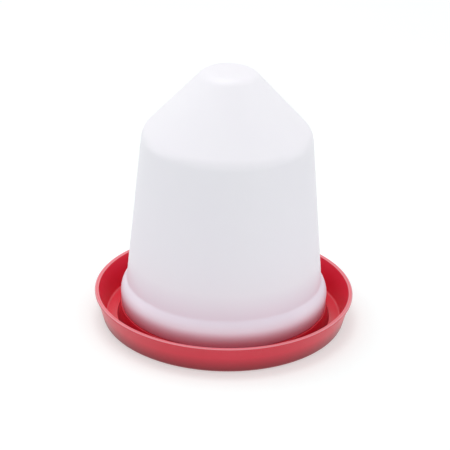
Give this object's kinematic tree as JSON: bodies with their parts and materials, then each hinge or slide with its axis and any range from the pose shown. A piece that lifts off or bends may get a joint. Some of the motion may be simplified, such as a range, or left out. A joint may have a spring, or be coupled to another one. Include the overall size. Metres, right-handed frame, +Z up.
{
  "type": "poultry waterer fount",
  "caption": "Round trough tray with a tall bell-shaped water reservoir that stands on the tray's inner ring and lifts off to be filled.",
  "frame": {"origin": "on the fount's own axis, on the surface it stands on", "axes": "+Z up along the axis of revolution; the two water ports face +Y and -Y, and the collar's hooks stand on the X and Y axes"},
  "size_m": [0.26, 0.26, 0.2652],
  "materials": {
    "tray_red": "satin-gloss moulded red plastic",
    "bell_white": "translucent natural white plastic, satin"
  },
  "bodies": {
    "tray": {"trough_tray": "tray_red"},
    "reservoir": {"reservoir_bell": "bell_white"}
  },
  "joints": [
    {"name": "bell_lift", "type": "slide", "parent": "tray", "child": "reservoir", "axis": [0, 0, 1], "range_m": [0, 0.08]}
  ]
}
